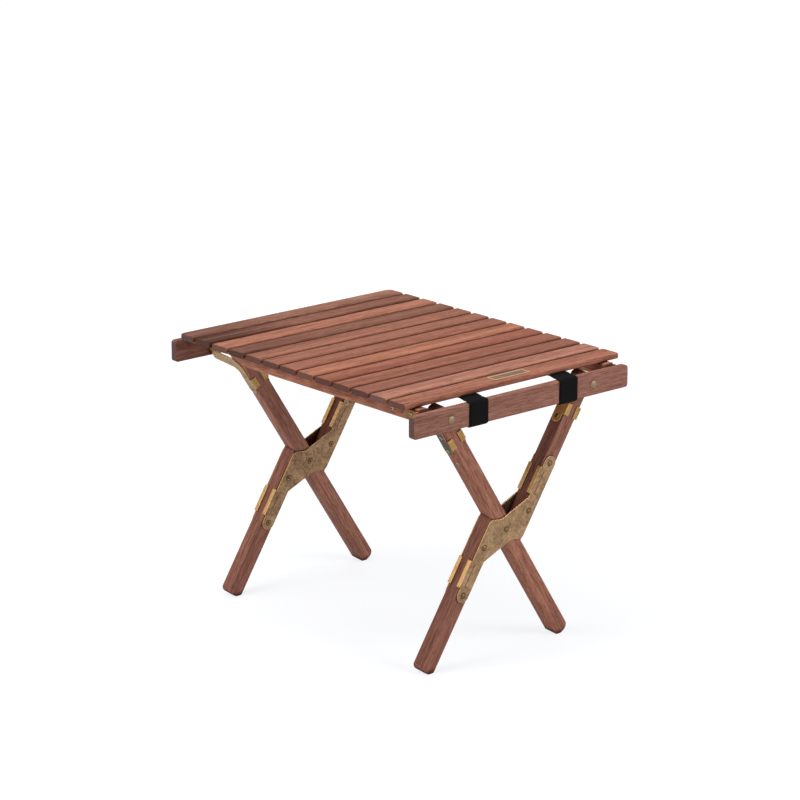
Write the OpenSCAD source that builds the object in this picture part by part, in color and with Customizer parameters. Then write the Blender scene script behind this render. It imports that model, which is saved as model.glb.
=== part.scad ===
// Roll top camp table: a slatted top on two webbing bands, carried by two end rails and
// two side rails on a pair of folding X leg frames with stamped brass cross plates.
// X runs along the slats, Y along the table, Z up. The origin is on the floor, mid-table.

/* [Slatted top] */
// Length of a slat
slat_len = 450; // [430:1:480]
// Width of a slat
slat_w = 36.8; // [35:0.1:38]
// Thickness of a slat
slat_t = 10; // [8:0.5:12]
// Gap between neighbouring slats
slat_gap = 6.3; // [5.5:0.1:7]
// Height of the table top above the floor
top_z = 461; // [455:1:470]
// Radius on the long edges of a slat
slat_edge_r = 3; // [1:0.25:3.5]
// Radius on the corners of a slat
slat_corner_r = 6; // [3:0.5:8]

/* [Webbing] */
// Width of a webbing band
band_w = 38; // [25:1:50]
// Thickness of the webbing
band_t = 2; // [1.4:0.1:2.2]
// Distance of each band from the middle of the table
band_x = 94.5; // [70:0.5:100]
// Length of a band's end that lies sewn under the last slat
band_lap = 30; // [20:1:34]

/* [Rails] */
// Thickness of an end rail
end_rail_t = 12; // [10:0.5:14]
// Height of an end rail
end_rail_h = 37.2; // [33:0.2:40]
// Length of an end rail
end_rail_len = 450; // [440:1:480]
// Gap from the last slat to an end rail
end_rail_gap = 9.4; // [9:0.1:11]
// Radius on the edges of an end rail
end_rail_r = 3; // [1:0.5:4]
// Thickness of a side rail
side_rail_t = 18; // [14:1:20]
// Height of a side rail
side_rail_h = 20.7; // [18:0.1:24]
// Distance of a side rail's outer face from the middle
side_rail_x = 205; // [200:1:212]
// Radius on the edges of a side rail
side_rail_r = 2; // [1:0.5:3]
// Length of the relief under a side rail's far end, over the far bracket's arm
relief_len = 134; // [125:1:145]
// Height of a side rail over its relief
relief_top = 8; // [6:0.5:10]

/* [Leg frames] */
// Width of a leg, seen from the end of the table
leg_w = 28; // [26:0.5:29]
// Thickness of a leg along the table
leg_t = 24; // [20:1:25]
// Radius on the long edges of a leg
leg_edge_r = 2; // [1:0.5:3]
// Lean of both leg frames from upright, in degrees
lean = 5.2; // [4.5:0.1:6]
// Distance of a near leg's upper bolt from the middle
bolt_x = 150; // [145:1:155]
// Height of the crossing of the legs
cross_z = 213.4; // [208:0.1:218]
// Distance of each half of the split leg from a line through the crossing
split_off = 29.8; // [29.5:0.1:32]
// Room from the top of the near legs to their end rail
near_room = 5; // [3:0.1:7]
// Distance along the table between the two leg frames
frame_gap = 482; // [470:1:488]
// Drop of the far bolts below the middle of their rail
far_bolt_drop = 5.5; // [4:0.5:8]
// Radius on the corners of a foot
foot_r = 12; // [5:0.5:13]
// Depth of the flat worn on each foot
foot_flat = 0.8; // [0.5:0.1:1.5]

/* [Cross plates] */
// Thickness of the brass sheet
sheet_t = 1.6; // [1.2:0.1:1.7]
// Distance of an arm's rivet from the crossing, along the split leg
arm_s = 121.6; // [118:0.2:126]
// Radius of an arm's round end
arm_r = 12.2; // [11.5:0.1:12.8]
// Distance of a body rivet from the crossing, along the split leg
body_s = 40; // [36:0.5:44]
// Radius of a plate's outer corner
plate_corner_r = 8; // [6:0.5:10]
// Radius of the hollow at a plate's waist
waist_r = 25; // [22:1:28]
// Place along the split leg where an arm starts
arm_start = 61; // [58:1:63]
// Place along the split leg where a folded tab starts
tab_start = 66; // [64:1:70]
// Length of a tab folded over the side of a leg
tab_len = 46; // [36:1:48]
// Place along the split leg where the pressed bead of an arm starts
bead_start = 72; // [68:1:80]
// Length of the pressed bead of an arm, between the middles of its ends
bead_len = 32; // [24:1:34]
// Width of the pressed bead of an arm
bead_w = 8.5; // [6:0.5:10]
// Height of the pressed bead of an arm
bead_h = 0.6; // [0.4:0.1:0.8]
// Depth of a tab folded over the side of a leg
tab_d = 5.5; // [5:0.5:8]

/* [Leg top plates] */
// Width of a leg top plate
cheek_w = 18; // [16:0.5:19]
// Distance of a near top plate's lower end from the crossing, along the leg
near_plate_low = 185; // [180:1:190]
// Distance of a far bracket's lower end from the crossing, along the leg
far_plate_low = 179; // [174:1:182]
// Distance of a leg top plate's upper rivet from its lower end
cheek_rivet_up = 40; // [38:0.5:42]
// Distance of the folded tab on a leg top plate from its lower end
cheek_tab_up = 15.5; // [14:0.5:16]
// Height of the folded tab on a leg top plate
cheek_tab_h = 20; // [16:1:22]
// Width of the folded tab on a leg top plate
cheek_tab_w = 8; // [5:0.5:9]
// Height of a far bracket's arm
arm_h = 23; // [18:0.5:24]
// Radius of a far bracket's outer bend
bend_r = 24; // [18:0.5:26]
// Distance of the hole in a far bracket's arm from the arm's end
arm_hole_in = 9; // [8:0.5:12]

/* [Fasteners] */
// Radius of a bolt's shank
bolt_r = 3; // [2.5:0.1:3.2]
// Radius of a bolt's round head
bolt_head_r = 6.5; // [5.5:0.1:7.5]
// Height of a bolt's round head
bolt_head_h = 3.2; // [2.5:0.1:4]
// Length of a far bolt beyond its rail
stud_len = 8; // [7:0.5:9]
// Radius of a rivet's shank
rivet_r = 2.4; // [2:0.1:2.6]
// Radius of a rivet's head
rivet_head_r = 4.4; // [3.6:0.1:4.8]
// Height of a rivet's head
rivet_head_h = 1.8; // [1.2:0.1:2.2]
// Radius of the hollow in a rivet
rivet_bore_r = 1.8; // [1:0.1:1.8]
// Depth of a small rivet or screw in the wood
rivet_depth = 7; // [5:0.5:8]
// Distance of a side rail's screw from the rail's end
rail_screw_in = 60; // [45:1:80]
// Distance of the near whole leg's screw below its top plate
leg_screw_drop = 20; // [12:1:30]
// Radius of the hollow in a small rivet's or screw's head
head_bore_r = 1.4; // [1:0.1:1.8]

/* [Corner brackets] */
// Length of a corner bracket along its side rail
corner_leaf = 32; // [26:1:40]
// Length of a corner bracket along its end rail
corner_ear = 5; // [4:0.5:12]
// Height of a corner bracket
corner_h = 14; // [12:0.5:16]

/* [Nameplate] */
// Length of the bare nameplate
name_len = 74; // [60:1:90]
// Height of the bare nameplate
name_h = 20; // [14:0.5:24]
// Thickness of the bare nameplate
name_t = 0.8; // [0.5:0.1:1.2]
// Place of the nameplate along its slat
name_x = 4; // [-20:1:20]
// Radius on the corners of the nameplate
name_r = 2; // [1:0.5:4]

/* [Clearances] */
// Gap between pieces that move past each other
run_gap = 0.4; // [0.3:0.05:0.6]
// Gap between pieces that rest on each other
rest_gap = 0.3; // [0.2:0.05:0.4]
// Radial clearance of a pivot in its hole
pivot_gap = 0.06; // [0.04:0.01:0.1]
// Clearance of a fixed piece in its hole or on its seat
seat_gap = 0.05; // [0.02:0.01:0.08]
// Room round a bolt in the open notch that it leaves by
notch_gap = 1.3; // [1.2:0.1:1.6]

/* [Hidden] */
$fn = 48;
slat_count = 13;
wood = "saddlebrown";
brass = "darkgoldenrod";
cloth = [0.08, 0.08, 0.08];
pitch = slat_w + slat_gap;
top_len = slat_count * slat_w + (slat_count - 1) * slat_gap;
slat_z = top_z - slat_t;
band_z = slat_z - band_t;
// Slit between the webbing under neighbouring slats
band_split = 0.5;
// The end rail's inner face, top and middle
end_rail_y = top_len / 2 + end_rail_gap;
end_rail_top = band_z - band_t - 2 * rest_gap;
end_rail_mid = end_rail_top - end_rail_h / 2;
end_rail_mid_y = end_rail_y + end_rail_t / 2;
side_rail_len = 2 * (end_rail_y - rest_gap);
side_rail_mid = slat_z - rest_gap - side_rail_h / 2;
// Leg frame in its own leaning plane: the crossing is the origin and Z runs up the frame
leg_r = leg_w / 2;
bolt_rise = end_rail_mid - cross_z;
near_top_y = -end_rail_y + near_room + leg_t / 2 * cos(lean) + leg_r * sin(lean);
near_bolt_h = (bolt_rise * cos(lean) + (end_rail_mid_y + near_top_y) * sin(lean)) / pow(cos(lean), 2);
near_cross_y = near_top_y + near_bolt_h * sin(lean);
far_cross_y = near_cross_y + frame_gap;
far_bolt_h = (bolt_rise - far_bolt_drop) * cos(lean) - (end_rail_mid_y - far_cross_y) * sin(lean);
// Leg a is whole and runs through the crossing; leg b is split into halves beside that line
a_ang = atan(bolt_x / near_bolt_h);
a_len = along_a(near_bolt_h);
b_ang = a_ang - asin(split_off / a_len);
b_len = along_b(near_bolt_h);
// The floor in the frame's plane, and the lengths down to the ends of the feet
foot_h = (cross_z + foot_flat - leg_t / 2 * sin(lean)) / cos(lean) - foot_r;
foot_in = leg_r - foot_r;
a_foot = foot_r + (foot_h - foot_in * sin(a_ang)) / cos(a_ang);
b_foot = foot_r + (foot_h + (split_off - foot_in) * sin(b_ang)) / cos(b_ang);
plate_y = leg_t / 2 + run_gap;
plate_out = plate_y + sheet_t;
bolt_seat = 1.2;
bolt_shoulder = 0.8;
// Turns of a plate's outer corner and of its waist, and the waist's shift outwards
corner_turn = 70;
waist_turn = 32;
waist_shift = 1;
notch_h = 2 * (bolt_r + notch_gap);
flange_room = (leg_r + sheet_t + arm_h / 2) * tan(lean);
far_arm_len = bolt_reach(1) - end_rail_t / 2 / cos(lean) - flange_room - rest_gap;

// Middle of slat i along the table; slat 1 is at the far end
function slat_y(i) = top_len / 2 - slat_w / 2 - (i - 1) * pitch;

// Values of the near frame for side -1 and of the far frame for side 1
function cross_y(side) = side < 0 ? near_cross_y : far_cross_y;
function bolt_h(side) = side < 0 ? near_bolt_h : far_bolt_h;
function plate_low(side) = side < 0 ? near_plate_low : far_plate_low;

// Distance along a bolt from the frame's plane to the middle of its rail
function bolt_reach(side) =
  (side * end_rail_mid_y - cross_y(side) + bolt_h(side) * sin(lean)) / cos(lean);

// Distances from the crossing, along each leg, to a point at height h in the frame
function along_a(h) = h / cos(a_ang);
function along_b(h) = (h + split_off * sin(b_ang)) / cos(b_ang);

// Points of an arc, from angle a to angle b
function arc(centre, r, a, b, steps = 8) =
  [for (i = [0:steps]) centre + r * [cos(a + (b - a) * i / steps), sin(a + (b - a) * i / steps)]];

// Rectangle with round corners, about its middle
module round_rect(size, r) {
  square([size[0] - 2 * r, size[1]], center = true);
  square([size[0], size[1] - 2 * r], center = true);
  for (sx = [-1, 1], sz = [-1, 1])
    translate([sx * (size[0] / 2 - r), sz * (size[1] / 2 - r)]) circle(r);
}

// Board along X: its section has edges of radius edge, its plan has corners of radius corner
module board(len, width, thick, edge, corner) {
  intersection() {
    rotate([90, 0, 90]) linear_extrude(len, center = true) round_rect([width, thick], edge);
    linear_extrude(thick, center = true) round_rect([len, width], corner);
  }
}

// Shallow dome of base radius r and height h
module dome(r, h) {
  ball = (r * r + h * h) / (2 * h);
  rotate_extrude()
    intersection() {
      translate([0, h - ball]) circle(ball, $fn = 96);
      square([r, h]);
    }
}

module slat(i) {
  color(wood)
    translate([0, slat_y(i), slat_z + slat_t / 2])
      board(slat_len, slat_w, slat_t, slat_edge_r, slat_corner_r);
}

module webbing(i) {
  color(cloth)
    for (s = [-1, 1])
      translate([s * band_x, slat_y(i), band_z + band_t / 2])
        cube([band_w, pitch - band_split, band_t], center = true);
}

// Section of a band's end: it laps under the last slat, goes over the end rail and down its
// outer face, and turns under the rail where it is fixed there
module loop_section(under) {
  inner = [end_rail_t + 2 * rest_gap, end_rail_h + 2 * rest_gap];
  outer = inner + [2 * band_t, 2 * band_t];
  lap = end_rail_gap + band_lap;
  turn = under ? end_rail_t / 3 : -outer[0];
  translate([end_rail_mid_y, end_rail_mid])
    difference() {
      round_rect(outer, end_rail_r + rest_gap + band_t);
      round_rect(inner, end_rail_r + rest_gap);
      translate([-outer[0], -inner[1] / 2]) square([outer[0], inner[1]]);
      translate([-outer[0], 0]) square([outer[0] - end_rail_t / 2, outer[1]]);
      translate([-outer[0], -outer[1] / 2]) square([outer[0] - turn, band_t + rest_gap + end_rail_r]);
    }
  translate([end_rail_y - lap, end_rail_top + rest_gap]) square([lap, band_t]);
}

module strap_loops(side, under) {
  color(cloth)
    for (s = [-1, 1])
      translate([s * band_x, 0, 0])
        rotate([90, 0, 90])
          linear_extrude(band_w, center = true)
            mirror([side > 0 ? 0 : 1, 0]) loop_section(under);
}

module nameplate() {
  color(brass)
    translate([name_x, slat_y(slat_count), top_z])
      linear_extrude(name_t) round_rect([name_len, name_h], name_r);
}

// Places things in a leg frame's own plane
module in_frame(side) {
  translate([0, cross_y(side), cross_z]) rotate([lean, 0, 0]) children();
}

// Places things at the bolts of one frame, with Z along the bolt towards the far end
module at_bolts(side) {
  h = bolt_h(side);
  for (x = [-h * tan(a_ang), (split_off + h * sin(b_ang)) / cos(b_ang)])
    in_frame(side) translate([x, 0, h]) rotate([-90, 0, 0]) children();
}

// One bolt: a shank of the given radius, and its head's shape at its seat in the rail
module bolt_shape(side, r) {
  seat = bolt_reach(side) + side * (end_rail_t / 2 / cos(lean) - bolt_seat);
  tip = side < 0 ? leg_t / 2 - bolt_r : bolt_reach(side) - end_rail_t / 2 - stud_len;
  translate([0, 0, min(seat, tip)]) cylinder(r = r, h = abs(seat - tip));
  translate([0, 0, seat]) mirror([0, 0, side < 0 ? 1 : 0]) children();
}

module end_rail(side) {
  color(wood)
    difference() {
      translate([0, side * end_rail_mid_y, end_rail_mid])
        rotate([90, 0, 0]) board(end_rail_len, end_rail_h, end_rail_t, end_rail_r, 2 * end_rail_r);
      at_bolts(side)
        bolt_shape(side, bolt_r + seat_gap)
          cylinder(r = bolt_head_r + seat_gap, h = bolt_seat + bolt_head_h);
    }
}

module bolts(side) {
  shoulder = bolt_seat + bolt_shoulder;
  color(brass)
    at_bolts(side)
      bolt_shape(side, bolt_r)
        union() {
          cylinder(r = bolt_head_r, h = shoulder);
          translate([0, 0, shoulder]) dome(bolt_head_r, bolt_head_h - bolt_shoulder);
        }
}

// Screws in a side rail's outer face: one through its corner bracket, one further in
module rail_screw_places(s) {
  for (inset = [corner_leaf / 2, rail_screw_in])
    translate([
      s * (side_rail_x + (inset < rail_screw_in ? sheet_t : 0)),
      inset - side_rail_len / 2,
      side_rail_mid])
      rotate([0, s * 90, 0]) children();
}

// Round-ended relief under the far end of a side rail
module rail_relief() {
  depth = side_rail_h - relief_top;
  rotate([90, 0, 90])
    linear_extrude(2 * side_rail_t, center = true)
      translate([side_rail_len / 2 - relief_len, side_rail_mid - side_rail_h / 2]) {
        circle(depth);
        translate([0, -depth]) square([2 * relief_len, 2 * depth]);
      }
}

module side_rail(s) {
  color(wood)
    difference() {
      translate([s * (side_rail_x - side_rail_t / 2), 0, side_rail_mid])
        rotate([0, 0, 90]) board(side_rail_len, side_rail_t, side_rail_h, side_rail_r, side_rail_r);
      translate([s * (side_rail_x - side_rail_t / 2), 0, 0]) rail_relief();
      rail_screw_places(s) screw_hole();
    }
}

// Folded brass angle in each near corner, between a side rail and the end rail
module corner_brackets() {
  color(brass)
    difference() {
      for (turn = [0, 1])
        mirror([turn, 0, 0])
          translate([side_rail_x, rest_gap - end_rail_y, side_rail_mid])
            linear_extrude(corner_h, center = true)
              polygon([[0, corner_leaf], [sheet_t, corner_leaf], [sheet_t, sheet_t],
                [corner_ear, sheet_t], [corner_ear, 0], [0, 0]]);
      for (s = [-1, 1]) rail_screw_places(s) screw_hole();
    }
}

module screw_hole() {
  translate([0, 0, -rivet_depth]) cylinder(r = rivet_r + seat_gap, h = 2 * rivet_depth);
}

// Small round-headed screw or rivet, seated at the origin with its shank down
module small_fastener() {
  translate([0, 0, seat_gap - rivet_depth]) cylinder(r = rivet_r, h = rivet_depth - seat_gap);
  difference() {
    dome(rivet_head_r, rivet_head_h);
    translate([0, 0, rivet_head_h / 4]) cylinder(r = head_bore_r, h = rivet_head_h);
  }
}

module side_rail_screws() {
  color(brass)
    for (s = [-1, 1]) rail_screw_places(s) small_fastener();
}

// Leg bar up to a round end at top and down to a foot with round corners at -foot
module leg_bar(top, foot) {
  intersection() {
    rotate([90, 0, 0])
      linear_extrude(leg_t, center = true) {
        translate([-leg_r, foot_r - foot]) square([leg_w, top + foot - foot_r]);
        translate([-foot_in, -foot]) square([2 * foot_in, 2 * foot_r]);
        for (s = [-1, 1]) translate([s * foot_in, foot_r - foot]) circle(foot_r);
        translate([0, top]) circle(leg_r);
      }
    translate([0, 0, -foot]) linear_extrude(top + foot + leg_r) round_rect([leg_w, leg_t], leg_edge_r);
  }
}

// Z runs up the whole leg, which leans to the left
module along_leg_a() {
  rotate([0, -a_ang, 0]) children();
}

// Z runs up the split leg, through the crossing; turn is 180 for what lies below the crossing
module along_split(turn = 0) {
  rotate([0, b_ang + turn, 0]) children();
}

// Z runs up the middle of the split leg's upper half
module along_leg_b() {
  along_split() translate([split_off, 0, 0]) children();
}

// Half space below the floor, in the leg frame
module floor_cut() {
  translate([0, 0, -cross_z / cos(lean)])
    rotate([-lean, 0, 0])
      translate([0, 0, -leg_w]) cube([4 * bolt_x, 8 * leg_t, 2 * leg_w], center = true);
}

// Hole of radius r right across the frame
module cross_hole(r) {
  rotate([90, 0, 0]) cylinder(r = r, h = 4 * leg_t, center = true);
}

// The rivets of the cross plates in the split leg, two above the crossing and two below
module at_plate_rivets(turns = [0, 180]) {
  for (turn = turns, s = [body_s, arm_s])
    along_split(turn) translate([split_off, 0, s]) children();
}

// Whole leg; a near one turns on its bolt, a far one on its bracket
module leg_a(side) {
  color(wood)
    in_frame(side)
      difference() {
        along_leg_a() leg_bar(a_len, a_foot);
        floor_cut();
        cross_hole(rivet_r + pivot_gap);
        along_leg_a() cheek_rivet_places(side) screw_hole();
        if (side < 0) {
          along_leg_a() translate([0, 0, a_len]) cross_hole(bolt_r + pivot_gap);
          along_leg_a() leg_screw_place() screw_hole();
        }
      }
}

// Half of the split leg: its end at the crossing is cut to stop against the open leg a
module half_leg(turn) {
  across = turn > 0 ? -split_off : split_off;
  intersection() {
    along_split() translate([across, 0, 0]) leg_bar(b_len, b_foot);
    rotate([0, turn - a_ang, 0])
      translate([leg_r + rest_gap, -leg_t, -2 * a_len]) cube([2 * a_len, 2 * leg_t, 4 * a_len]);
  }
}

module leg_b_upper(side) {
  color(wood)
    in_frame(side)
      difference() {
        half_leg(0);
        at_plate_rivets([0]) cross_hole(rivet_r + seat_gap);
        along_leg_b() cheek_rivet_places(side) screw_hole();
        if (side < 0) bolt_notch(b_len, -leg_t);
      }
}

module leg_b_lower(side) {
  color(wood)
    in_frame(side)
      difference() {
        half_leg(180);
        floor_cut();
        at_plate_rivets([180]) cross_hole(rivet_r + seat_gap);
      }
}

// Open notch, from depth y on, that lets a bolt out sideways as the frame shuts
module bolt_notch(level, y) {
  along_leg_b()
    translate([0, y, level])
      rotate([-90, -b_ang, 0])
        linear_extrude(2 * leg_t) {
          circle(d = notch_h);
          translate([0, -notch_h / 2]) square([2 * leg_w, notch_h]);
        }
}

// Outline of a cross plate along the split leg, alike when turned half way round
module plate_outline() {
  outer = split_off + arm_r;
  inner = split_off - arm_r;
  corner = [outer - plate_corner_r, plate_corner_r / 4];
  waist = [corner[0] + waist_shift, -waist_r - plate_corner_r];
  waist_from = 180 - corner_turn;
  half = concat(
    [[outer, arm_s]],
    arc(corner, plate_corner_r, 0, -corner_turn),
    arc(waist, waist_r, waist_from, waist_from + waist_turn),
    [[-inner, -arm_start], [-inner, -arm_s]]);
  polygon(concat(half, [for (p = half) -p]));
  for (s = [-1, 1]) translate(s * [split_off, arm_s]) circle(arm_r);
}

// The beads pressed along both arms of a cross plate
module arm_beads() {
  for (s = [-1, 1])
    translate(s * [split_off, bead_start + bead_len / 2]) {
      square([bead_w, bead_len], center = true);
      for (end = [-1, 1]) translate([0, end * bead_len / 2]) circle(d = bead_w);
    }
}

// Stamped cross plate; the left edge of each arm is folded into a tab over the wood
module cross_plate(side, face) {
  sheet_y = face > 0 ? plate_y : -plate_out;
  fold_y = face > 0 ? plate_y - tab_d : -plate_out;
  bead_y = face > 0 ? plate_out + bead_h : sheet_t / 2 - plate_out;
  color(brass)
    in_frame(side)
      difference() {
        along_split() {
          translate([0, sheet_y + sheet_t, 0])
            rotate([90, 0, 0]) linear_extrude(sheet_t) plate_outline();
          translate([0, bead_y, 0])
            rotate([90, 0, 0]) linear_extrude(bead_h + sheet_t / 2) arm_beads();
          for (fold = [[split_off - leg_r, tab_start], [-split_off - leg_r, -tab_start - tab_len]])
            translate([fold[0] - seat_gap - sheet_t, 0, fold[1]]) {
              translate([0, fold_y, 0]) cube([sheet_t, tab_d + sheet_t, tab_len]);
              translate([0, sheet_y, 0]) cube([leg_r, sheet_t, tab_len]);
            }
        }
        cross_hole(rivet_r + seat_gap);
        at_plate_rivets() cross_hole(rivet_r + seat_gap);
      }
}

// Rivet through both cross plates: domed on the frame's outer side, hollow on the inner side
module through_rivet(out) {
  rotate([out * 90, 0, 0])
    difference() {
      union() {
        translate([0, 0, -plate_out]) cylinder(r = rivet_r, h = 2 * plate_out);
        translate([0, 0, plate_out]) dome(rivet_head_r, rivet_head_h);
        translate([0, 0, -plate_out - rivet_head_h / 2]) cylinder(r = rivet_head_r, h = rivet_head_h / 2);
      }
      translate([0, 0, -plate_out - rivet_head_h]) cylinder(r = rivet_bore_r, h = 4 * rivet_head_h);
    }
}

module centre_rivet(side) {
  color(brass) in_frame(side) through_rivet(-side);
}

// Rivets of the top plates on both edges of a leg
module cheek_rivet_places(side) {
  for (s = [-1, 1], up = [cheek_w / 2, cheek_rivet_up])
    translate([s * (leg_r + seat_gap + sheet_t), 0, plate_low(side) + up])
      rotate([0, s * 90, 0]) children();
}

// Screw in the outer edge of the near whole leg, below its top plate
module leg_screw_place() {
  translate([-leg_r, -leg_t / 6, near_plate_low - leg_screw_drop]) rotate([0, -90, 0]) children();
}

// Outline of a leg top plate, over the leg's thickness and up the leg to a bolt at the given
// level; where arm is over 0 it bends into an arm along the table
module cheek_outline(side, level, arm) {
  foot = plate_low(side) + cheek_w / 2;
  top = level + (arm > 0 ? arm_h / 2 : -leg_r);
  front = -cheek_w / 2;
  difference() {
    union() {
      translate([0, foot]) circle(cheek_w / 2);
      translate([front, foot]) square([cheek_w, top - foot]);
      if (arm > 0) {
        translate([front, top - arm_h]) square([arm - front, arm_h]);
        translate([0, top - arm_h - bend_r / 2])
          difference() {
            translate([-front, 0]) square(bend_r / 2);
            translate([bend_r / 2 - front, 0]) circle(bend_r / 2);
          }
      }
    }
    if (arm > 0)
      translate([front + bend_r, top - bend_r])
        difference() {
          translate([-2 * bend_r, 0]) square(2 * bend_r);
          circle(bend_r);
        }
  }
}

// Pair of plates on the edges of a leg's top, each with a tab folded onto the near face
module cheeks(side, level, arm) {
  tab_z = plate_low(side) + cheek_tab_up;
  front = -leg_t / 2 - sheet_t;
  difference() {
    for (turn = [0, 1])
      mirror([turn, 0, 0])
        translate([leg_r + seat_gap, 0, 0]) {
          rotate([90, 0, 90])
            linear_extrude(sheet_t) {
              cheek_outline(side, level, arm);
              translate([front, tab_z]) square([leg_t / 2, cheek_tab_h]);
            }
          translate([-cheek_tab_w, front, tab_z]) cube([cheek_tab_w + sheet_t, sheet_t, cheek_tab_h]);
        }
    cheek_rivet_places(side) screw_hole();
  }
}

module near_leg_a_top_plates() {
  color(brass) in_frame(-1) along_leg_a() cheeks(-1, a_len, 0);
}

module near_leg_b_top_plates() {
  color(brass) in_frame(-1) along_leg_b() cheeks(-1, b_len, 0);
}

// Bracket of a far leg: two plates whose arms reach back to the far end rail and are joined there
module far_bracket(level) {
  difference() {
    union() {
      cheeks(1, level, far_arm_len);
      translate([0, far_arm_len - sheet_t / 2, level])
        cube([leg_w + 2 * (sheet_t + seat_gap), sheet_t, arm_h], center = true);
    }
    translate([0, far_arm_len - arm_hole_in, level])
      rotate([0, 90, 0]) cylinder(r = rivet_r, h = 2 * leg_w, center = true);
    translate([0, far_arm_len, level]) cross_hole(bolt_r + pivot_gap);
  }
}

module far_leg_a_bracket() {
  color(brass) in_frame(1) along_leg_a() far_bracket(along_a(far_bolt_h));
}

module far_leg_b_bracket() {
  level = along_b(far_bolt_h);
  color(brass)
    in_frame(1)
      difference() {
        along_leg_b() far_bracket(level);
        bolt_notch(level, far_arm_len - stud_len - bolt_r);
      }
}

module leg_a_rivets(side) {
  color(brass)
    in_frame(side)
      along_leg_a() {
        cheek_rivet_places(side) small_fastener();
        if (side < 0) leg_screw_place() small_fastener();
      }
}

module leg_b_rivets(side) {
  color(brass)
    in_frame(side) {
      along_leg_b() cheek_rivet_places(side) small_fastener();
      at_plate_rivets() through_rivet(-side);
    }
}

for (i = [1:slat_count]) {
  slat(i);
  webbing(i);
}
strap_loops(-1, true);  // near_strap_loops
strap_loops(1, false);  // far_strap_loops
nameplate();
end_rail(-1);  // near_end_rail
end_rail(1);  // far_end_rail
side_rail(-1);  // left_side_rail
side_rail(1);  // right_side_rail
corner_brackets();
side_rail_screws();
bolts(-1);  // near_bolts
bolts(1);  // far_bolts
leg_a(-1);  // near_leg_a
leg_b_upper(-1);  // near_leg_b_upper
leg_b_lower(-1);  // near_leg_b_lower
cross_plate(-1, -1);  // near_front_plate
cross_plate(-1, 1);  // near_back_plate
centre_rivet(-1);  // near_centre_rivet
near_leg_a_top_plates();
near_leg_b_top_plates();
leg_a_rivets(-1);  // near_leg_a_rivets
leg_b_rivets(-1);  // near_leg_b_rivets
leg_a(1);  // far_leg_a
leg_b_upper(1);  // far_leg_b_upper
leg_b_lower(1);  // far_leg_b_lower
cross_plate(1, -1);  // far_front_plate
cross_plate(1, 1);  // far_back_plate
centre_rivet(1);  // far_centre_rivet
far_leg_a_bracket();
far_leg_b_bracket();
leg_a_rivets(1);  // far_leg_a_rivets
leg_b_rivets(1);  // far_leg_b_rivets
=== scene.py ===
"""Looks of the roll top camp table: oiled reddish wood, antique brass and black webbing.

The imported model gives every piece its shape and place. This script finishes the rails, legs and
brass pieces, works the slats' edges round, weaves the two webbing bands as cloth strips, and sets
the floor, the studio light and the camera.
"""

import math

import bmesh
import bpy
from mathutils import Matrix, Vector


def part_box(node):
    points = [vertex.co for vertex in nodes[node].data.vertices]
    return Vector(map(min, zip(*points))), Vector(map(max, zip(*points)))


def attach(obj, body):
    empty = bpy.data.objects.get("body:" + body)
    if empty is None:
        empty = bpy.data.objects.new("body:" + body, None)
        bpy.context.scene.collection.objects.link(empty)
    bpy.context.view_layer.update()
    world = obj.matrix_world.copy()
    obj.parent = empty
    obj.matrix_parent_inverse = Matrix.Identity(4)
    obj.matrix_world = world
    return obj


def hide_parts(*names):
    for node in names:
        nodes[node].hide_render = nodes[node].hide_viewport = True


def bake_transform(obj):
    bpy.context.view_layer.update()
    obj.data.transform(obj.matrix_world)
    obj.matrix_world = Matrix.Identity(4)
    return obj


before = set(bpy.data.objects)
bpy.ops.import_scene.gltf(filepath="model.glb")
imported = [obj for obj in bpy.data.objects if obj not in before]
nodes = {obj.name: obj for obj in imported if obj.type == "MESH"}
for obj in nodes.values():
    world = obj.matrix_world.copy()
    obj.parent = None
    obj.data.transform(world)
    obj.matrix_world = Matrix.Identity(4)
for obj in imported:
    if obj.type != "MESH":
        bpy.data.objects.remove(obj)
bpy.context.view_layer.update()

# Webbing, in metres: the bands, how their selvedges thin out, how near a hinge they bend, and the
# threads of the weave, with the clouds of lint to the metre and where paler threads start and are
# full
SLAT_COUNT = 13
MIDDLE_WEBBING = "webbing_7"
BAND_SIDES = {"left": -1, "right": 1}
BAND_WIDTH = 0.038
BAND_THICK = 0.0018
BAND_ROWS_ACROSS = 12
BAND_CORNER_STEPS = 6
BAND_STEP = 0.003
SELVEDGE_POWER = 14
SELVEDGE_THIN = 0.7
WEAVE_RIB = 0.0016
WEAVE_PICK = 0.0011
WEAVE_LINT = (900, 300, 1)
THREAD_FADE = (0.35, 1.0)

# Band ends: the end rails' edge radius, the cloth's distance from it, where the band leaves the
# last slat, from its middle, and how far it goes on under the near rail
RAIL_EDGE = 0.003
RAIL_CLEAR = 0.0003
SLAT_LIP = 0.0184
TAIL_REACH = 0.007

# Slats: radius of their worked long edges, of the rubbed edges of their ends, and of the far
# slat's far corners; a face is flat if its normal goes along an axis as far as FLAT_FACE says
SLAT_EDGE = 0.0034
SLAT_EDGE_STEPS = 5
SLAT_END_EDGE = 0.0006
SLAT_END_STEPS = 2
FAR_SLAT_CORNER = 0.008
FAR_SLAT_CORNER_STEPS = 6
FLAT_FACE = 0.999

# Meshes: points closer than this are one, a cut this near to a point goes through it, and a leg's
# end reaches this far in
SAME_POINT = 0.00001
SAME_PLANE = 0.000001
LEG_END = 0.05

# Wood: how far painted shade reaches out of a corner or gap, and how round its other edges are rubbed
CORNER_SHADE_REACH = 0.014
RUBBED_EDGE = 0.0015

# Wood grain: how many clouds there are to the metre, along the grain and across it
GROWTH_BANDS = (2.2, 60, 60)
LONG_STREAKS = (16, 420, 420)
FINE_FIBRES = (55, 800, 800)
SHORT_PORES = (110, 1000, 1000)
RING_BANDS = (1.6, 75, 75)
HEARTWOOD = (3.5, 130, 130)
END_SPECKLE = (500, 900, 900)
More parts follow.
